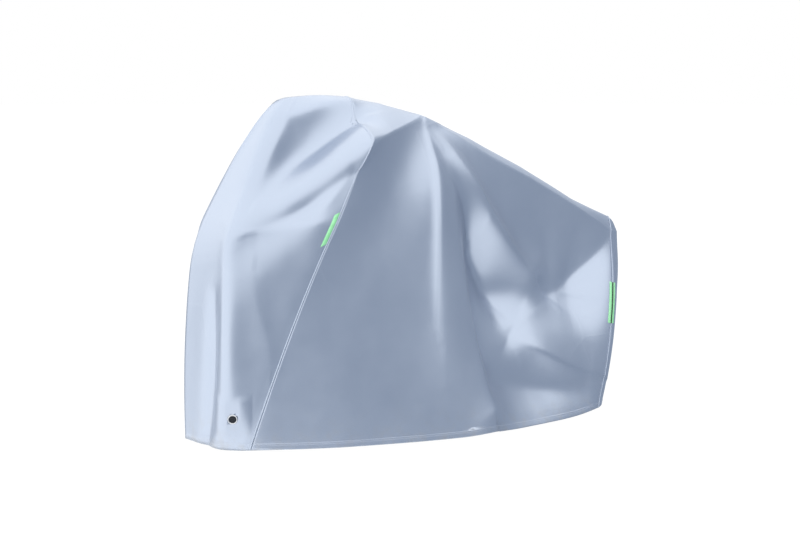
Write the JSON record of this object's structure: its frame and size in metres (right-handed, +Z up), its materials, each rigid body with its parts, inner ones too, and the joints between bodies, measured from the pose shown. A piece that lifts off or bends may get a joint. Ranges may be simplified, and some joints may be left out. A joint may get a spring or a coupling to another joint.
{
  "type": "bicycle cover",
  "caption": "Fitted cloth cover for a bicycle: a hood over the handlebar, side panels draped from the saddle, a narrow rear panel, eyelets at the front hem and reflective strips on the seams.",
  "frame": {"origin": "under the top, where the cloth lies on the covered bicycle's saddle", "axes": "+X to the rear of the cover, +Y to its far side, +Z up"},
  "size_m": [1.7392, 0.7074, 1.1446],
  "materials": {
    "cloth": "satin coating",
    "eyelet": "polished",
    "reflective": "reflective film"
  },
  "bodies": {
    "root": {"hood_panel": "cloth", "body_panel_near": "cloth", "body_panel_far": "cloth", "rear_panel": "cloth", "eyelet_strip_near": "cloth", "eyelet_strip_far": "cloth", "eyelet_near": "eyelet", "eyelet_far": "eyelet", "front_strip_near": "reflective", "front_strip_far": "reflective", "rear_strip_side_near": "reflective", "rear_strip_back_near": "reflective", "rear_strip_side_far": "reflective", "rear_strip_back_far": "reflective"}
  },
  "joints": []
}
